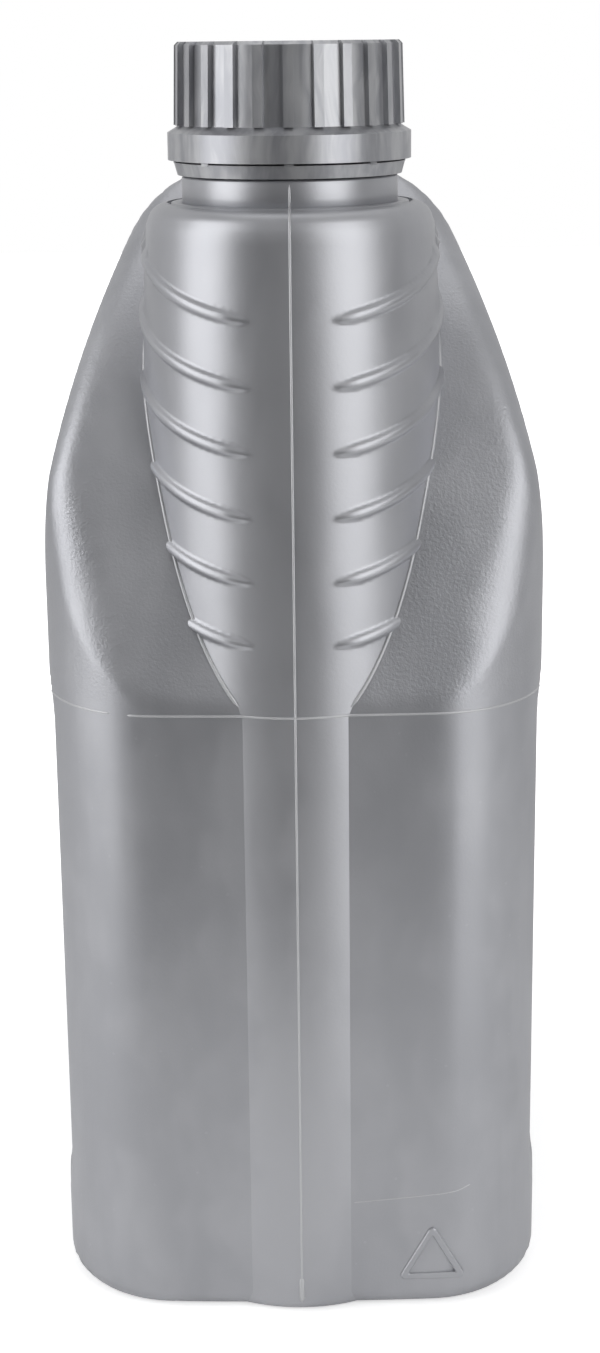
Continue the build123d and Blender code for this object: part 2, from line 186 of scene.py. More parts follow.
def plan_outline():
    """Two bowed sides and two almost flat ends, with round corners."""
    corner = HALF_THICK - SIDE_DROP
    sag = corner ** 2 / (2 * FACE_RADIUS)
    middle = (FRONT_FACE + BACK) / 2
    x = np.linspace(-corner, corner, 25)
    reach = BACK - sag - middle
    y = np.linspace(-reach, reach, 41)
    bow = SIDE_DROP * (y / reach) ** 2
    front = np.stack([x, FRONT_FACE + x ** 2 / (2 * FACE_RADIUS)], 1)
    right = np.stack([HALF_THICK - bow, middle + y], 1)
    rear = np.stack([-x, BACK - x ** 2 / (2 * FACE_RADIUS)], 1)
    left = np.stack([-HALF_THICK + bow, middle - y], 1)
    sides = [front, right, rear, left]
    rounds = [CORNER_FRONT, CORNER_BACK, CORNER_BACK, CORNER_FRONT]
    trimmed = []
    for one, radius_in, radius_out in zip(sides, [rounds[-1]] + rounds[:-1], rounds):
        far_in = np.linalg.norm(one - one[0], axis=1) > radius_in * 1.15
        far_out = np.linalg.norm(one - one[-1], axis=1) > radius_out * 1.15
        trimmed.append(one[far_in & far_out])
    outline = []
    for this, after in zip(trimmed, trimmed[1:] + trimmed[:1]):
        a, b = this[-1], after[0]
        da, db = this[-1] - this[-2], after[1] - after[0]
        t = np.linalg.solve(np.stack([da, -db], 1), b - a)
        meet = a + da * t[0]
        s = np.linspace(0, 1, 16)[1:-1, None]
        pull = 2 * s * (1 - s) * CORNER_WEIGHT
        curve = ((1 - s) ** 2 * a + pull * meet + s ** 2 * b) / ((1 - s) ** 2 + pull + s ** 2)
        outline += [this, curve]
    return np.concatenate(outline)


def slope_points():
    """The slope in the side view: straight from its foot to the bend, then a circular arc that leaves the
    straight without a corner, up to SCOOP_UPPER. Also the angle from upright in which it ends."""
    lean = math.radians(SCOOP_LEAN)
    bend = (FRONT_FACE + (SCOOP_BEND - SCOOP_FOOT) * math.tan(lean), SCOOP_BEND)
    dy, dz = behind(SCOOP_UPPER[0]) - bend[0], SCOOP_UPPER[1] - bend[1]
    last = 2 * math.atan2(dy, dz) - lean
    radius = math.hypot(dy, dz) / (2 * math.sin((last - lean) / 2))
    turn = np.linspace(lean, last, 40)
    arc = np.stack([bend[0] + radius * (math.cos(lean) - np.cos(turn)),
                    bend[1] + radius * (np.sin(turn) - math.sin(lean))], 1)
    return np.concatenate([[(FRONT_FACE, SCOOP_FOOT)], arc]), last


def side_outline():
    """Scooped slope, handle top and back; the front below the scoop is left to the plan."""
    slope, lean = slope_points()
    upper = tuple(slope[-1])
    top = (upper[0] + math.tan(lean) * (HANDLE_TOP - upper[1]), HANDLE_TOP)
    ahead = FRONT - 30
    corners = [upper, top, (behind(HANDLE_BACK[0]), HANDLE_BACK[1]), (BACK, BACK_SHOULDER), (BACK, -40)]
    tail = rounded_outline(corners, [0, *HANDLE_ROUNDS, 0])
    return np.concatenate([[(ahead, -40), (ahead, SCOOP_FOOT - 0.5), (FRONT_FACE - 0.2, SCOOP_FOOT - 0.5)],
                           slope[:-1], tail])


def inward_corner(before, corner, after, inset):
    """The corner of a path, moved in by the same distance from both of its sides."""
    before, corner, after = (np.array(p, float) for p in (before, corner, after))
    first = (corner - before) / np.linalg.norm(corner - before)
    second = (after - corner) / np.linalg.norm(after - corner)
    turn = math.acos(np.clip(first @ second, -1, 1))
    return corner + np.array([first[1], -first[0]]) * inset - first * inset * math.tan(turn / 2)


def hole_points():
    start, corner = (behind(HOLE_FRONT), HANDLE_TOP), (behind(HANDLE_BACK[0]), HANDLE_BACK[1])
    shoulder = (BACK, BACK_SHOULDER)
    high_back = inward_corner(start, corner, shoulder, GRIP_DEPTH)
    mid_back = inward_corner(corner, shoulder, (BACK, 0), GRIP_DEPTH)
    lean = (corner[1] - start[1]) / (corner[0] - start[0])
    high_front = (start[0], high_back[1] + lean * (start[0] - high_back[0]))
    return [(start[0], HOLE_LOW_FRONT), high_front, tuple(high_back), tuple(mid_back),
            (mid_back[0], HOLE_LOW_BACK)]


PLAN = plan_outline()
SIDE = side_outline()
HOLE = rounded_outline(hole_points(), [HOLE_ROUND] * 5)


# The blown body as a field

def soft_step(x, low, high):
    t = np.clip((x - low) / (high - low), 0, 1)
    return t * t * (3 - 2 * t)


def soft_max(a, b, k):
    """The larger of two fields; within k of each other they run together in a parabola."""
    h = np.maximum(k - np.abs(a - b), 0) / k
    return np.maximum(a, b) + h * h * k / 4


def soft_min(a, b, k):
    return -soft_max(-a, -b, k)


def round_max(a, b, r):
    """Overlap of two fields with a round of radius r along their edge."""
    return np.minimum(np.maximum(a, b) + r, 0) + np.hypot(np.maximum(a + r, 0), np.maximum(b + r, 0)) - r


def dish_field(x, y, z):
    """Space beside the grip, negative inside. Its front and low walls move out with |x|, and meet in
    a round."""
    out = np.maximum(np.abs(x) - GRIP_HALF, 0) / (HALF_THICK + DISH_MARGIN - GRIP_HALF)
    (front, low), (back, back_low) = hole_points()[0], hole_points()[-1]
    fall = (back_low - low) / (back - front)
    edge = front - DISH_MARGIN - DISH_FRONT * out
    wall = (edge - y) * DISH_WALL_SCALE
    floor = (low - DISH_MARGIN - DISH_LOW * out + fall * (y - edge) - z) * DISH_FLOOR_SCALE
    return round_max(wall, floor, DISH_ROUND * (1 + 0.6 * out))


def panel_depth(y, z):
    """How deep the label panel is sunk at a place on the wide face."""
    tall = (PANEL_HIGH - PANEL_LOW) / 2 - PANEL_ROUND
    long = BACK - PANEL_MARGIN - PANEL_ROUND
    dy = np.maximum(np.abs(y) - long, 0)
    dz = np.maximum(np.abs(z - (PANEL_HIGH + PANEL_LOW) / 2) - tall, 0)
    edge = np.hypot(dy, dz) - PANEL_ROUND
    return PANEL_DEPTH * (1 - soft_step(edge, -1.6, 0.4))


def form_field(x, y, z, plan, side, hole):
    """The outside of the blown body without its column, negative inside the plastic."""
    rise = np.clip(z - OGIVE_START, 0, OGIVE_RADIUS * 0.9)
    drop = OGIVE_RADIUS - np.sqrt(OGIVE_RADIUS ** 2 - rise ** 2)
    lean = np.sqrt(1 - (rise / OGIVE_RADIUS) ** 2)
    ogive = (np.abs(x) - HALF_THICK - OGIVE_CLEAR + drop) * lean
    walls = soft_max(plan, ogive, 2.0)
    wide = soft_step(np.abs(x), 40, 52)
    walls = walls + panel_depth(y, z) * wide
    walls = soft_max(walls, -dish_field(x, y, z), 4.0)
    plate = np.maximum(np.abs(x) - GRIP_HALF, hole_points()[0][0] - 21 - y)
    walls = soft_min(walls, plate, 6.0)
    edge = 0.8 + (RIDGE_ROUND - 0.8) * soft_step(z, 162, 190)
    edge = edge + (GRIP_EDGE - RIDGE_ROUND) * soft_step(y, -20, 5)
    shape = round_max(walls, side, edge)
    shape = round_max(shape, -hole, GRIP_EDGE)
    return round_max(shape, -z, BASE_ROUND)


def body_field(x, y, z, plan=None, side=None, hole=None):
    """The form, hollowed: its own shape moved in, and a round space where the column stands."""
    plan = outline_distance(PLAN, x, y) if plan is None else plan
    side = outline_distance(SIDE, y, z) if side is None else side
    hole = outline_distance(HOLE, y, z) if hole is None else hole
    outside = form_field(x, y, z, plan, side, hole)
    kick = round_max(plan + BASE_RIM, z - BASE_RISE, 1.5)
    outside = soft_max(outside, -kick, 1.5)
    inner = np.maximum(outside + HOLLOW_INSET, HOLLOW_INSET + BASE_RISE - z)
    shaft = np.maximum(np.hypot(x, y - AXIS_Y) - HOLLOW_COLUMN, HOLLOW_INSET + BASE_RISE - z)
    return np.maximum(outside, -np.minimum(inner, shaft))


def contour():
    """Surface of body_field = 0 on a box grid: one vertex in each cell that the surface crosses, at the
    mean of its edge crossings, one quad for each grid edge that it crosses, then the vertices slide
    along the field's slope onto the surface."""
    axes = [np.concatenate([np.arange(*stretch) for stretch in axis]) for axis in (GRID_X, GRID_Y, GRID_Z)]
    x, y, z = np.meshgrid(*axes, indexing="ij")
    plan = outline_distance(PLAN, x[:, :, 0], y[:, :, 0])[:, :, None]
    side = outline_distance(SIDE, y[0], z[0])[None]
    hole = outline_distance(HOLE, y[0], z[0])[None]
    field = body_field(x, y, z, plan, side, hole)
    inside = field < 0
    n = tuple(s - 1 for s in field.shape)
    total, hits = np.zeros(n + (3,)), np.zeros(n)
    grid = np.stack([x, y, z], -1)
    for axis in range(3):
        one = [slice(None)] * 3
        two = [slice(None)] * 3
        one[axis], two[axis] = slice(0, -1), slice(1, None)
        fa, fb = field[tuple(one)], field[tuple(two)]
        crosses = (fa < 0) != (fb < 0)
        t = np.where(crosses, fa / np.where(crosses, fa - fb, 1), 0)
        where = grid[tuple(one)] + t[..., None] * (grid[tuple(two)] - grid[tuple(one)])
        others = [k for k in range(3) if k != axis]
        for i in (0, 1):
            for j in (0, 1):
                pick = [slice(None)] * 3
                pick[others[0]] = slice(i, i + n[others[0]])
                pick[others[1]] = slice(j, j + n[others[1]])
                mask = crosses[tuple(pick)]
                total += where[tuple(pick)] * mask[..., None]
                hits += mask
    used = hits > 0
    number = np.full(n, -1)
    number[used] = np.arange(used.sum())
    points = total[used] / hits[used][:, None]
    quads = []
    for axis in range(3):
        b, c = (axis + 1) % 3, (axis + 2) % 3
        core = [slice(1, -1)] * 3
        one, two = list(core), list(core)
        one[axis], two[axis] = slice(0, -1), slice(1, None)
        crosses = inside[tuple(one)] != inside[tuple(two)]
        outward = inside[tuple(one)][crosses]
        at = np.argwhere(crosses)
        at[:, b] += 1
        at[:, c] += 1
        ring = []
        for db, dc in ((-1, -1), (0, -1), (0, 0), (-1, 0)):
            cell_at = at.copy()
            cell_at[:, b] += db
            cell_at[:, c] += dc
            ring.append(number[tuple(cell_at.T)])
        ring = np.stack(ring, 1)
        quads.append(np.where(outward[:, None], ring, ring[:, ::-1]))
    for _ in range(3):
        here = body_field(*points.T)
        h = 0.05
        slope = np.stack([body_field(*(points + h * np.eye(3)[k]).T) - here for k in range(3)], 1) / h
        move = -here[:, None] * slope / np.maximum((slope ** 2).sum(1), 0.25)[:, None]
        points += np.clip(move, -0.9, 0.9)
    return points, np.concatenate(quads)


# Meshes

def new_piece(name, points, faces, body, material, smooth=True):
    """A mesh object from points in mm and faces, riding on a body."""
    mesh = bpy.data.meshes.new(name)
    faces = faces if isinstance(faces, list) else faces.tolist()
    mesh.from_pydata((np.asarray(points) * MM).tolist(), [], faces)
    mesh.validate()
    mesh.polygons.foreach_set("use_smooth", np.full(len(mesh.polygons), smooth))
    piece = bpy.data.objects.new(name, mesh)
    bpy.context.scene.collection.objects.link(piece)
    mesh.materials.append(material)
    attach(piece, body)
    return piece


def grid_faces(rows, columns):
    """Quads of a grid that closes on itself both ways, like a tyre."""
    r, c = np.meshgrid(np.arange(rows), np.arange(columns), indexing="ij")
    r2, c2 = (r + 1) % rows, (c + 1) % columns
    corners = [r * columns + c, r * columns + c2, r2 * columns + c2, r2 * columns + c]
    return np.stack(corners, -1).reshape(-1, 4)


def turned_points(radius, height, angle):
    """Radius and height arrays carried round the neck's axis; angle 0 is the front."""
    x = radius * np.sin(angle)
    y = AXIS_Y - radius * np.cos(angle)
    return np.stack([x, y, height], -1).reshape(-1, 3)


def rib_height(angle, height):
    """How far the slanted bead ribs stand out of the column. A rib is a round bar on the ring
    z = z0 + tan(tilt)*R*(cos(start) - cos(angle)); its inner end sinks and thins to nothing."""
    across = COLUMN_RADIUS - RIB_SUNK
    turn = np.abs(angle)
    start = math.asin(RIB_INNER / across)
    full = math.asin((RIB_INNER + RIB_TIP) / across)
    tilt = math.tan(math.radians(RIB_TILT))
    ring = RIB_TOP + tilt * across * (math.cos(start) - np.cos(turn))
    index = np.clip(np.round((ring - height) / RIB_PITCH), 0, RIB_COUNT - 1)
    apart = (height - ring + RIB_PITCH * index) * np.cos(np.arctan(tilt * np.sin(turn)))
    end = math.radians(RIB_REACH)
    grow = np.clip((turn - start) / (full - start), 0, 1)
    taper = grow * (2 - grow) * (1 - soft_step(turn, end - 0.05, end))
    radius = RIB_RADIUS * (0.3 + 0.7 * taper)
    bar = np.sqrt(np.maximum(radius ** 2 - apart ** 2, 0)) - RIB_SUNK - (1 - taper) * 0.25
    bar = np.where((turn > start) & (turn < end), bar, -1)
    foot = 0.22
    lift = np.where(bar > -foot, bar, -foot)
    return np.maximum(soft_max(lift, np.zeros_like(lift), foot) - foot / 4 * (lift <= -foot), 0)


def column_radius(z):
    """Radius of the pillar: constant, then a parabola into a straight taper up to the rim, whose edge is
    a quarter circle."""
    bend = np.maximum(z - (COLUMN_BEND - 12), 0)
    slope = COLUMN_NARROWS / 26
    narrowed = np.where(z < COLUMN_BEND + 12, bend ** 2 / 48 * slope, (z - COLUMN_BEND) * slope)
    over = np.clip(z - (COLUMN_TOP - COLUMN_RIM), 0, COLUMN_RIM)
    return COLUMN_RADIUS - narrowed - COLUMN_RIM + np.sqrt(COLUMN_RIM ** 2 - over ** 2)


def column_piece(material):
    """The pillar: wall profile from foot over the rim to the shoulder with its groove, and back down inside,
    carried round the axis. Behind, its lower edge stops inside the body's wall."""
    low_front, low_back = BAND_EDGE, 246.0
    columns = np.radians(np.concatenate([np.arange(-110, 110, 0.9), np.arange(110, 250, 4.0)]))
    angle = np.where(columns > math.pi, columns - 2 * math.pi, columns)
    narrow = COLUMN_RADIUS - COLUMN_NARROWS
    rim_at = COLUMN_TOP - COLUMN_RIM
    turn = np.linspace(0, math.pi / 2, 9)
    side = np.concatenate([np.arange(0, 156, 4.0), np.arange(158, 266, 0.5), np.array([268, 270, rim_at])])
    behind_it = soft_step(np.abs(angle), math.radians(118), math.radians(136))
    lower = low_front + (low_back - low_front) * behind_it
    share = side / rim_at
    z_side = lower[None] + share[:, None] * (rim_at - lower[None])
    r_side = column_radius(z_side) + rib_height(np.broadcast_to(angle, z_side.shape), z_side)
    foot = np.linspace(0, math.pi / 2, 6)[:-1]
    r_foot = (COLUMN_RADIUS - BAND_EDGE + BAND_EDGE * np.sin(foot))[:, None] + 0 * angle[None]
    z_foot = lower[None] - (BAND_EDGE * np.cos(foot))[:, None]
    r_rim = (narrow - COLUMN_RIM + COLUMN_RIM * np.cos(turn[1:]))[:, None] + 0 * angle[None]
    z_rim = (rim_at + COLUMN_RIM * np.sin(turn[1:]))[:, None] + 0 * angle[None]
    cut = np.linspace(-1, 1, 9)
    groove_r = GROOVE_RADIUS - 0.9 - cut * GROOVE_WIDTH / 2
    groove_z = COLUMN_TOP - GROOVE_DEPTH * (1 - cut ** 4)
    inner_r = np.array([COLLAR_RADIUS - 1.5, COLLAR_RADIUS - 1.5, narrow - COLUMN_WALL,
                        COLUMN_RADIUS - COLUMN_WALL])
    inner_z = np.array([COLUMN_TOP, COLUMN_TOP - 3, COLUMN_TOP - 3.5, COLUMN_BEND])
    flat = 0 * angle[None]
    r_all = np.concatenate([r_foot, r_side, r_rim, groove_r[:, None] + flat, inner_r[:, None] + flat,
                            (COLUMN_RADIUS - COLUMN_WALL) + flat])
    z_all = np.concatenate([z_foot, z_side, z_rim, groove_z[:, None] + flat, inner_z[:, None] + flat,
                            (lower + 0.5)[None]])
    points = turned_points(r_all, z_all, np.broadcast_to(angle, r_all.shape))
    return new_piece("column", points, grid_faces(*r_all.shape)[:, ::-1], "bottle", material)


def neck_piece(material):
    """Collar, neck, thread and bore as one turned ring. The thread is a smooth hill that climbs
    THREAD_LEAD in a turn and fades out at both ends."""
    angle = np.linspace(0, 2 * math.pi, 192, endpoint=False)
    soft = 0.5
    outer = [(COLLAR_RADIUS, COLUMN_TOP - 2), (COLLAR_RADIUS, COLLAR_TOP - soft),
             (COLLAR_RADIUS - 0.15, COLLAR_TOP - 0.15), (COLLAR_RADIUS - soft, COLLAR_TOP),
             (NECK_RADIUS + 0.3, COLLAR_TOP), (NECK_RADIUS, COLLAR_TOP + 0.3), (NECK_RADIUS, BEAD_LOW),
             (BEAD_RADIUS - 0.2, BEAD_LOW), (BEAD_RADIUS, BEAD_LOW + 0.2), (NECK_RADIUS, BEAD_LOW + 2.2)]
    climb = np.arange(BEAD_LOW + 2.6, MOUTH - 1.2, 0.25)
    lip = [(NECK_RADIUS, MOUTH - 0.8), (NECK_RADIUS - 0.25, MOUTH - 0.25), (NECK_RADIUS - 0.8, MOUTH),
           (BORE + 0.5, MOUTH), (BORE + 0.12, MOUTH - 0.15), (BORE, MOUTH - 0.6),
           (BORE, COLUMN_TOP - 4), (COLLAR_RADIUS - 2, COLUMN_TOP - 4)]
    profile = np.array(outer + [(NECK_RADIUS, z) for z in climb] + lip)
    radius = profile[:, 0, None] + 0 * angle[None]
    height = profile[:, 1, None] + 0 * angle[None]
    rows = slice(len(outer), len(outer) + len(climb))
    z = height[rows]
    phase = (z - THREAD_LOW) / THREAD_LEAD - angle[None] / (2 * math.pi)
    away = np.abs((phase + 0.5) % 1 - 0.5) * THREAD_LEAD
    fade = soft_step(z, THREAD_LOW - 1.5, THREAD_LOW + 1)
    fade = fade * (1 - soft_step(z, THREAD_HIGH - 1, THREAD_HIGH + 1.5))
    radius[rows] += THREAD_DEPTH * fade * (1 - soft_step(away, 0.35, 1.35))
    points = turned_points(radius, height, np.broadcast_to(angle, radius.shape))
    return new_piece("neck_finish", points, grid_faces(*radius.shape)[:, ::-1], "bottle", material)


def cap_thread(material):
    """The thread inside the cap: a thin sleeve in the cap's bore whose inner side has the neck's hill,
    turned inwards and half a lead higher, so that the two threads run between each other."""
    angle = np.linspace(0, 2 * math.pi, 192, endpoint=False)
    climb = np.arange(CAP_LOW + 3, MOUTH - 1.5, 0.25)
    inner = CAP_BORE - 0.03
    phase = (climb[:, None] - THREAD_LOW) / THREAD_LEAD - 0.5 - angle[None] / (2 * math.pi)
    away = np.abs((phase + 0.5) % 1 - 0.5) * THREAD_LEAD
    fade = soft_step(climb, climb[0] + 1, climb[0] + 3) * (1 - soft_step(climb, climb[-1] - 3, climb[-1] - 1))
    hill = inner - CAP_THREAD * fade[:, None] * (1 - soft_step(away, 0.35, 1.35))
    radius = np.concatenate([hill, np.full((2, len(angle)), CAP_BORE + 0.3)])
    height = np.concatenate([climb, climb[[-1, 0]]])[:, None] + 0 * angle[None]
    points = turned_points(radius, height, np.broadcast_to(angle, radius.shape))
    return new_piece("cap_thread", points, grid_faces(*radius.shape), "cap", material)


# Mould lines and the triangle

def bar_piece(name, path, radius, body, material):
    """A thin round bar along an open path: at each point a ring of eight across the path's direction,
    which shrinks to a point at both ends."""
    path = np.asarray(path, float)
    along = np.gradient(path, axis=0)
    along /= np.linalg.norm(along, axis=1)[:, None]
    aside = np.cross(along, [0.31, 0.2, 0.93])
    aside /= np.linalg.norm(aside, axis=1)[:, None]
    up = np.cross(along, aside)
    turn = np.linspace(0, 2 * math.pi, 8, endpoint=False)
    width = np.full(len(path), radius)
    width[[0, -1]] = 0.02
    ring = np.cos(turn)[None, :, None] * aside[:, None] + np.sin(turn)[None, :, None] * up[:, None]
    points = (path[:, None] + ring * width[:, None, None]).reshape(-1, 3)
    rows = len(path)
    r, c = np.meshgrid(np.arange(rows - 1), np.arange(8), indexing="ij")
    quads = np.stack([r * 8 + c, r * 8 + (c + 1) % 8, (r + 1) * 8 + (c + 1) % 8, (r + 1) * 8 + c], -1)
    faces = quads.reshape(-1, 4).tolist() + [list(range(7, -1, -1)), list(range(8 * rows - 8, 8 * rows))]
    return new_piece(name, points, faces, body, material)


def dense(points, step=2.0):
    """The same path with points added, no further apart than step."""
    points = np.asarray(points, float)
    apart = np.linalg.norm(np.diff(points, axis=0), axis=1)
    reach = np.concatenate([[0], np.cumsum(apart)])
    s = np.linspace(0, reach[-1], int(reach[-1] / step) + 2)
    return np.stack([np.interp(s, reach, points[:, k]) for k in range(points.shape[1])], 1)


def seam_pieces(material):
    """The parting line in the plane x = 0: up the column's front, over the rim to the collar, up the
    collar, and behind the neck up the slope, over the handle and down the back."""
    rim = COLUMN_TOP - COLUMN_RIM * (1 - np.sin(np.linspace(0, 1.5, 8)))
    z = np.concatenate([np.arange(3.5, COLUMN_TOP - COLUMN_RIM, 3), rim])
    front = np.stack([AXIS_Y - column_radius(z) + LINE_SUNK, z], 1)
    top = COLUMN_TOP - LINE_SUNK
    front = np.concatenate([front, [(AXIS_Y - GROOVE_RADIUS - 1, top), (AXIS_Y - COLLAR_RADIUS, top),
                                    (AXIS_Y - COLLAR_RADIUS + LINE_SUNK, COLUMN_TOP + 0.3),
                                    (AXIS_Y - COLLAR_RADIUS + LINE_SUNK, COLLAR_TOP - 0.3)]])
    around = SIDE[(SIDE[:, 0] > AXIS_Y + COLUMN_RADIUS - 1.5) & (SIDE[:, 1] > -30)]
    around = np.concatenate([around[around[:, 1] > BASE_ROUND], [(BACK, BASE_ROUND)]])
    middle = np.array([behind(100), 150])
    inward = middle - around
    around = around + inward / np.linalg.norm(inward, axis=1)[:, None] * LINE_SUNK
    tail = [(behind(0.35), 2.4), (behind(0.1), 4), (behind(0.25), 8), (behind(0.55), 11)]
    base = [(behind(24), BASE_RISE + 0.2), (BACK - 24, BASE_RISE + 0.2)]
    for name, path, radius in (("seam_front", front, LINE_RADIUS), ("seam_back", around, LINE_RADIUS),
                               ("pinch_tail", tail, 0.75), ("pinch_line", base, 0.8)):
        path = dense(path)
        path = np.concatenate([np.zeros((len(path), 1)), path], 1)
        bar_piece(name, path, radius, "bottle", material)


def on_skin(points, sunk):
    """Points moved level and along the field's slope onto the body's skin, then in by sunk."""
    x, y, z = np.array(points, float).T
    for step in range(7):
        here = body_field(x, y, z)
        slope_x = (body_field(x + 0.1, y, z) - here) / 0.1
        slope_y = (body_field(x, y + 0.1, z) - here) / 0.1
        square = np.maximum(slope_x ** 2 + slope_y ** 2, 0.25)
        move = -here / square if step < 6 else -sunk / np.sqrt(square)
        x, y = x + np.clip(move * slope_x, -1, 1), y + np.clip(move * slope_y, -1, 1)
    return np.stack([x, y, z], 1)


def mould_lines(material):
    """The line round the body just under the slopes, the faint line of the mould's insert on the front,
    and the fine edge where the column rises out of the slopes."""
    x = np.linspace(-HALF_THICK + 24, HALF_THICK - 24, 90)
    flat = FRONT_FACE + x ** 2 / (2 * FACE_RADIUS)
    pillar = AXIS_Y - np.sqrt(np.maximum(COLUMN_RADIUS ** 2 - x ** 2, 0))
    front = np.stack([x, np.where(np.abs(x) < 20, np.minimum(flat, pillar), flat) + LINE_SUNK], 1)
    rest = PLAN * (1 - LINE_SUNK / 80)
    start = np.argmin(np.hypot(*(rest - front[-1]).T))
    rest = np.roll(rest, -start, 0)
    stop = np.argmin(np.hypot(*(rest - front[0]).T))
    ring = dense(np.concatenate([front, rest[1:stop]]), 1.2)
    ring = np.concatenate([ring, np.full((len(ring), 1), SCOOP_FOOT - 0.9)], 1)
    skin = on_skin(ring, LINE_SUNK + 0.05)
    on_pillar = (np.abs(ring[:, :1]) < 20) & (ring[:, 1:2] < 0)
    lines = [("mould_line", np.where(on_pillar, ring, skin), LINE_RADIUS)]
    insert = dense([(12.6, 29.8), (24, 30.7), (40.5, 32), (46.5, 33.4)], 1.5)
    insert = np.stack([insert[:, 0], np.full(len(insert), FRONT_FACE), insert[:, 1]], 1)
    lines.append(("insert_line", on_skin(insert, 0.12), 0.2))
    slope, _ = slope_points()
    z = np.arange(SCOOP_FOOT + 1, SCOOP_UPPER[1], 1.5)
    y = np.interp(z, slope[:, 1], slope[:, 0])
    cosine = (AXIS_Y - y) / column_radius(z)
    across = np.sqrt(np.maximum(1 - cosine ** 2, 0)) * (column_radius(z) + 0.05)
    for side in (-1, 1):
        path = np.stack([side * across, y - 0.05, z], 1)
        lines.append(("column_edge_" + ("left" if side < 0 else "right"), path, 0.48))
    for name, path, radius in lines:
        bar_piece(name, path, radius, "bottle", material)


def triangle_piece(material):
    """The raised triangle: six rounded triangles, one in the other, joined into a low frame that is
    highest between its two edges. Each is the outer one moved in, with smaller corner rounds."""
    height = SIGN_SIDE * math.sqrt(3) / 2
    middle = np.array([SIGN_X, SIGN_LOW + height / 3])
    loops = []
    for inset, proud in ((0, -0.4), (0.05, 0.28), (0.32, SIGN_PROUD), (SIGN_LINE - 0.32, SIGN_PROUD),
                         (SIGN_LINE - 0.05, 0.28), (SIGN_LINE, -0.4)):
        reach = (height / 3 - inset) * 2
        corner = max(1.1 - inset * 0.5, 0.2)
        spots = []
        for point in (90, 210, 330):
            tip = np.array([math.cos(math.radians(point)), math.sin(math.radians(point))])
            centre = middle + tip * (reach - 2 * corner)
            sweep = np.radians(np.linspace(point - 60, point + 60, 7))
            spots.append(centre + corner * np.stack([np.cos(sweep), np.sin(sweep)], 1))
        spots = np.concatenate(spots)
        y = FRONT_FACE + spots[:, 0] ** 2 / (2 * FACE_RADIUS) - proud
        loops.append(np.stack([spots[:, 0], y, spots[:, 1]], 1))
    points = np.concatenate(loops)
    faces = grid_faces(len(loops), len(loops[0]))
    return new_piece("touch_triangle", points, faces[:, ::-1], "bottle", material, smooth=False)


# Materials

def add_math(tree, operation, *values):
    """A math node whose inputs are numbers or other nodes' outputs."""
    node = tree.nodes.new("ShaderNodeMath")
    node.operation = operation
    for socket, value in zip(node.inputs, values):
        if isinstance(value, (int, float)):
            socket.default_value = value
        else:
            tree.links.new(value, socket)
    return node.outputs[0]


def add_noise(tree, vector, scale, detail=2.0, rough=0.5):
    node = tree.nodes.new("ShaderNodeTexNoise")
    tree.links.new(vector, node.inputs["Vector"])
    if isinstance(scale, (int, float)):
        node.inputs["Scale"].default_value = scale
    else:
        tree.links.new(scale, node.inputs["Scale"])
    node.inputs["Detail"].default_value = detail
    node.inputs["Roughness"].default_value = rough
    return node.outputs["Fac"]


def add_range(tree, value, low, high, to_low, to_high):
    """A value carried smoothly from one range to another."""
    node = tree.nodes.new("ShaderNodeMapRange")
    node.interpolation_type = "SMOOTHSTEP"
    tree.links.new(value, node.inputs["Value"])
    for name, number in zip(("From Min", "From Max", "To Min", "To Max"), (low, high, to_low, to_high)):
        node.inputs[name].default_value = number
    return node.outputs["Result"]


def new_group(name, inputs, outputs):
    """A node group with float or vector inputs, given with their default values, and float outputs."""
    tree = bpy.data.node_groups.new(name, "ShaderNodeTree")
    for label, default in inputs:
        kind = "NodeSocketVector" if default is None else "NodeSocketFloat"
        socket = tree.interface.new_socket(name=label, in_out="INPUT", socket_type=kind)
        if default is not None:
            socket.default_value = default
    for label in outputs:
        tree.interface.new_socket(name=label, in_out="OUTPUT", socket_type="NodeSocketFloat")
    return tree, tree.nodes.new("NodeGroupInput").outputs, tree.nodes.new("NodeGroupOutput").inputs


def blasted_skin():
    """The skin that the blasted mould leaves: fine grain, slow waves of the blown wall, and rare flecks."""
    tree, given, out = new_group("blasted_skin", [("Vector", None), ("Grain", 1300.0), ("Waves", 45.0)],
                                 ["Grain", "Waves", "Flecks"])
    tree.links.new(add_noise(tree, given["Vector"], given["Grain"], 3, 0.6), out["Grain"])
    tree.links.new(add_noise(tree, given["Vector"], given["Waves"], 1, 0.4), out["Waves"])
    cells = tree.nodes.new("ShaderNodeTexVoronoi")
    cells.inputs["Scale"].default_value = 160
    tree.links.new(given["Vector"], cells.inputs["Vector"])
    tree.links.new(add_range(tree, cells.outputs["Distance"], 0.045, 0.075, 1, 0), out["Flecks"])
    return tree


def pearl_flow():
    """How the pearl pigment lies: bands drawn out along the flow, with a soft cloud through them."""
    tree, given, out = new_group("pearl_flow", [("Vector", None), ("Scale", 60.0), ("Stretch", 0.2)],
                                 ["Flow"])
    parts = tree.nodes.new("ShaderNodeSeparateXYZ")
    whole = tree.nodes.new("ShaderNodeCombineXYZ")
    tree.links.new(given["Vector"], parts.inputs[0])
    cloud = add_noise(tree, given["Vector"], 55, 2)
    bent = add_math(tree, "MULTIPLY_ADD", cloud, 0.012, parts.outputs[0])
    tree.links.new(bent, whole.inputs[0])
    tree.links.new(parts.outputs[1], whole.inputs[1])
    tree.links.new(add_math(tree, "MULTIPLY", parts.outputs[2], given["Stretch"]), whole.inputs[2])
    bands = add_noise(tree, whole.outputs[0], given["Scale"], 3, 0.6)
    tree.links.new(add_math(tree, "ADD", add_math(tree, "MULTIPLY", bands, 0.75),
                            add_math(tree, "MULTIPLY", cloud, 0.25)), out["Flow"])
    return tree


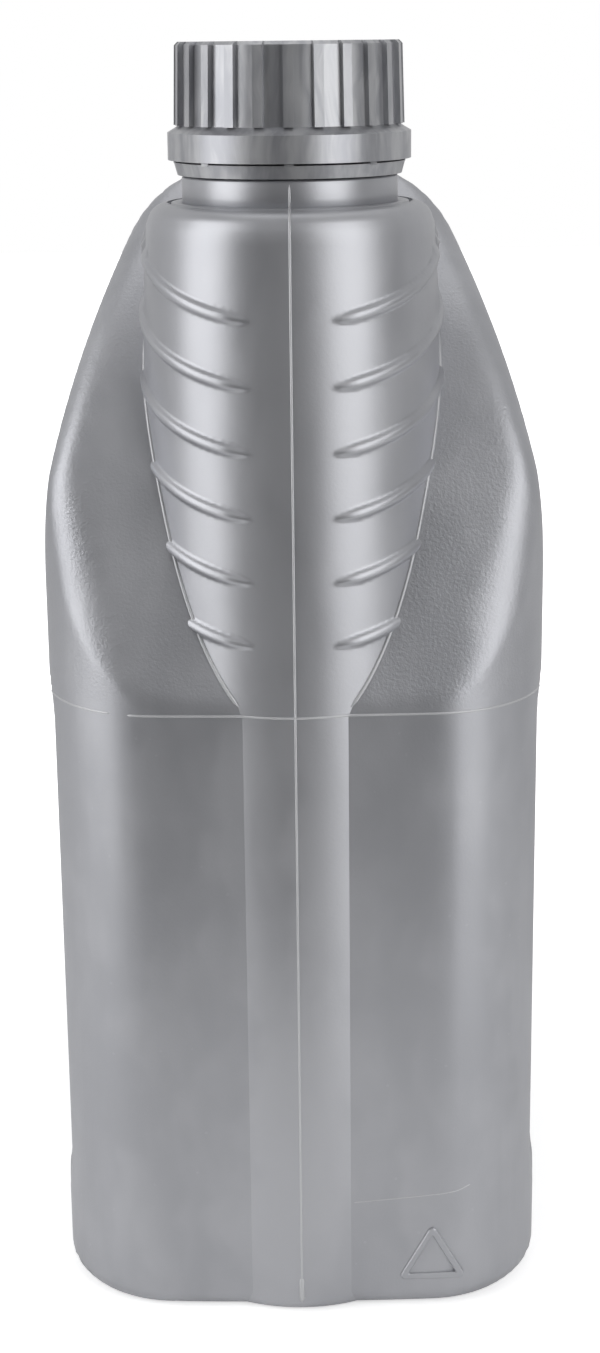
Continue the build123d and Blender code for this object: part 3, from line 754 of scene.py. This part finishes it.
def place_group(tree, group, vector, **values):
    node = tree.nodes.new("ShaderNodeGroup")
    node.node_tree = group
    tree.links.new(vector, node.inputs["Vector"])
    for name, value in values.items():
        node.inputs[name].default_value = value
    return node.outputs


def pearl_plastic(name, dark, light, rough, metallic, flow, grain, waves=0.0, slope_grain=None, flecks=0.0):
    """Pearl-pigmented plastic. dark and light are the two greys that the flow runs between, rough its
    roughness range, grain and waves the depth of the two bumps; above the slopes' foot the grain may be
    deeper."""
    material = bpy.data.materials.new(name)
    material.use_nodes = True
    tree = material.node_tree
    shader = tree.nodes["Principled BSDF"]
    shader.inputs["Metallic"].default_value = metallic
    place = tree.nodes.new("ShaderNodeTexCoord").outputs["Object"]
    streak = place_group(tree, FLOW, place, Scale=flow[0], Stretch=flow[1])["Flow"]
    skin = place_group(tree, SKIN, place)
    tint = tree.nodes.new("ShaderNodeMix")
    tint.data_type = "RGBA"
    tint.inputs["A"].default_value = (*dark, 1)
    tint.inputs["B"].default_value = (*light, 1)
    share = add_range(tree, streak, 0.38, 0.62, 0, 1)
    if flecks:
        share = add_math(tree, "MULTIPLY_ADD", skin["Flecks"], flecks, share)
    tree.links.new(share, tint.inputs["Factor"])
    tree.links.new(tint.outputs["Result"], shader.inputs["Base Color"])
    tree.links.new(add_range(tree, streak, 0.35, 0.65, *rough), shader.inputs["Roughness"])
    strength = grain
    if slope_grain is not None:
        height = tree.nodes.new("ShaderNodeSeparateXYZ")
        tree.links.new(place, height.inputs[0])
        strength = add_range(tree, height.outputs[2], 0.158, 0.166, grain, slope_grain)
    fine = tree.nodes.new("ShaderNodeBump")
    fine.inputs["Distance"].default_value = 0.0002
    tree.links.new(skin["Grain"], fine.inputs["Height"])
    if isinstance(strength, float):
        fine.inputs["Strength"].default_value = strength
    else:
        tree.links.new(strength, fine.inputs["Strength"])
    if waves:
        slow = tree.nodes.new("ShaderNodeBump")
        slow.inputs["Distance"].default_value = 0.002
        slow.inputs["Strength"].default_value = waves
        tree.links.new(skin["Waves"], slow.inputs["Height"])
        tree.links.new(slow.outputs["Normal"], fine.inputs["Normal"])
    tree.links.new(fine.outputs["Normal"], shader.inputs["Normal"])
    return material


def foam(name, colour):
    """Foamed liner: a nearly white sheet with small shallow bubbles."""
    material = bpy.data.materials.new(name)
    material.use_nodes = True
    tree = material.node_tree
    shader = tree.nodes["Principled BSDF"]
    shader.inputs["Base Color"].default_value = (*colour, 1)
    place = tree.nodes.new("ShaderNodeTexCoord").outputs["Object"]
    skin = place_group(tree, SKIN, place, Grain=900)
    tree.links.new(add_range(tree, skin["Grain"], 0.3, 0.7, 0.55, 0.8), shader.inputs["Roughness"])
    bump = tree.nodes.new("ShaderNodeBump")
    bump.inputs["Distance"].default_value = 0.0002
    bump.inputs["Strength"].default_value = 0.4
    tree.links.new(skin["Grain"], bump.inputs["Height"])
    tree.links.new(bump.outputs["Normal"], shader.inputs["Normal"])
    return material


FLOW, SKIN = pearl_flow(), blasted_skin()
satin_grey = pearl_plastic("satin_grey", (0.40, 0.405, 0.43), (0.46, 0.465, 0.49), (0.40, 0.45), 0.7,
                           (35, 0.35), 0.16, waves=0.10, slope_grain=0.55, flecks=0.5)
column_grey = pearl_plastic("column_grey", (0.42, 0.425, 0.45), (0.48, 0.485, 0.51), (0.36, 0.41), 0.7,
                            (35, 0.35), 0.12, waves=0.05)
cap_grey = pearl_plastic("cap_grey", (0.36, 0.365, 0.39), (0.50, 0.505, 0.52), (0.33, 0.38), 0.65,
                         (240, 0.12), 0.05)
# Mould lines, pinch marks and the column's edge bead: a lighter grey than the body, painted highlight along
# the raised lines
line_grey_painted_highlight = pearl_plastic("line_grey_painted_highlight", (0.52, 0.525, 0.54), (0.57, 0.575, 0.59), (0.42, 0.46), 0.5,
                          (35, 0.35), 0.08)
foam_white = foam("foam_white", (0.85, 0.85, 0.83))

points, quads = contour()
body = new_piece("bottle_body", points, quads, "bottle", satin_grey)
for piece in (body, column_piece(column_grey)):
    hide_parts("bottle")
neck = neck_piece(column_grey)
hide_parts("neck")
# these lines are drawn in the lighter grey that paints their highlight
seam_pieces(line_grey_painted_highlight)
mould_lines(line_grey_painted_highlight)
triangle_piece(satin_grey)
cap_thread(cap_grey)

for node, material in (("screw_cap", cap_grey), ("tamper_ring", cap_grey), ("sealing_wad", foam_white)):
    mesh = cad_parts[node].data
    mesh.materials.clear()
    mesh.materials.append(material)

# Stage, light, camera

CAMERA_PLACE = (2.8, -621.0, 315.0)
CAMERA_PITCH, CAMERA_ROLL = 15.46, 0.62
FOCAL_PIXELS, FRAME_TALL, SENSOR = 2300.0, 1353.0, 36.0
FLOOR_FRONT, FLOOR_BACK, FLOOR_SIDE = -0.34, 3.0, 2.5
WINDOWS = {"left_window": (-70.0, 0.72, 7.4), "right_window": (46.0, 0.70, 6.6)}  # turn, width, power
WINDOW_FAR, WINDOW_HIGH, WINDOW_TALL = 1.0, 0.42, 1.3
TOP_POWER = 2.7
ROOM_FRONT, ROOM_BACK, ROOM_TOP = 0.02, 0.6, 0.38


def pale_floor():
    """A flat floor that ends in front of the bottle, where the room is dark. The camera sees it lit and
    with some light of its own, more of it further out, so that it runs into the white background. The
    bottle mirrors a faint glow of it close by."""
    material = bpy.data.materials.new("pale_floor")
    material.use_nodes = True
    tree = material.node_tree
    shader = tree.nodes["Principled BSDF"]
    shader.inputs["Base Color"].default_value = (0.86, 0.86, 0.86, 1)
    shader.inputs["Roughness"].default_value = 0.9
    shader.inputs["Emission Color"].default_value = (1, 1, 1, 1)
    length = tree.nodes.new("ShaderNodeVectorMath")
    length.operation = "LENGTH"
    tree.links.new(tree.nodes.new("ShaderNodeTexCoord").outputs["Object"], length.inputs[0])
    rays = tree.nodes.new("ShaderNodeLightPath").outputs
    far_out = add_range(tree, length.outputs["Value"], 0.08, 0.3, 0.5, 1.0)
    seen = add_math(tree, "MULTIPLY", far_out, rays["Is Camera Ray"])
    close_by = add_range(tree, length.outputs["Value"], 0.10, 0.30, 0.12, 0.0)
    through = add_math(tree, "MAXIMUM", rays["Is Glossy Ray"], rays["Is Transmission Ray"])
    mirrored = add_math(tree, "MULTIPLY", close_by, through)
    tree.links.new(add_math(tree, "ADD", seen, mirrored), shader.inputs["Emission Strength"])
    points = [(x, y, 0) for x in (-FLOOR_SIDE, FLOOR_SIDE) for y in (FLOOR_FRONT, FLOOR_BACK)]
    mesh = bpy.data.meshes.new("floor")
    mesh.from_pydata(points, [], [(0, 2, 3, 1)])
    mesh.materials.append(material)
    sheet = bpy.data.objects.new("floor", mesh)
    bpy.context.scene.collection.objects.link(sheet)


def area_lamp(name, place, target, size, power):
    lamp = bpy.data.lights.new(name, "AREA")
    lamp.shape = "RECTANGLE"
    lamp.size, lamp.size_y = size
    lamp.energy = power
    holder = bpy.data.objects.new(name, lamp)
    bpy.context.scene.collection.objects.link(holder)
    holder.location = place
    holder.rotation_euler = (Vector(target) - Vector(place)).to_track_quat("-Z", "Y").to_euler()


def room():
    """The world: white to the camera, and to the object dark in front, where the camera stands, and
    brighter above and behind, where the white background is."""
    world = bpy.data.worlds.new("room")
    bpy.context.scene.world = world
    world.use_nodes = True
    tree = world.node_tree
    background = tree.nodes["Background"]
    parts = tree.nodes.new("ShaderNodeSeparateXYZ")
    tree.links.new(tree.nodes.new("ShaderNodeTexCoord").outputs["Generated"], parts.inputs[0])
    level = add_math(tree, "MAXIMUM", add_range(tree, parts.outputs[1], -0.25, 0.35, ROOM_FRONT, ROOM_BACK),
                     add_range(tree, parts.outputs[2], 0.05, 0.75, ROOM_FRONT, ROOM_TOP))
    eye = tree.nodes.new("ShaderNodeLightPath").outputs["Is Camera Ray"]
    tree.links.new(add_math(tree, "MAXIMUM", level, eye), background.inputs["Strength"])
    background.inputs["Color"].default_value = (1, 1, 1, 1)


pale_floor()
room()
for name, (turn, width, power) in WINDOWS.items():
    turn = math.radians(turn)
    spot = (WINDOW_FAR * math.sin(turn), AXIS_Y * MM - WINDOW_FAR * math.cos(turn), WINDOW_HIGH)
    area_lamp(name, spot, (0, AXIS_Y * MM, 0.2), (width, WINDOW_TALL), power)
area_lamp("top_panel", (0, 0.25, 1.4), (0, 0, 0.2), (1.0, 1.0), TOP_POWER)

camera_data = bpy.data.cameras.new("camera")
camera_data.sensor_width = SENSOR
camera_data.lens = FOCAL_PIXELS / FRAME_TALL * SENSOR
camera = bpy.data.objects.new("camera", camera_data)
bpy.context.scene.collection.objects.link(camera)
camera.location = [v * MM for v in CAMERA_PLACE]
camera.rotation_euler = Euler((math.radians(90 - CAMERA_PITCH), math.radians(CAMERA_ROLL), 0), "XYZ")
bpy.context.scene.camera = camera
bpy.context.scene.view_settings.view_transform = "Standard"
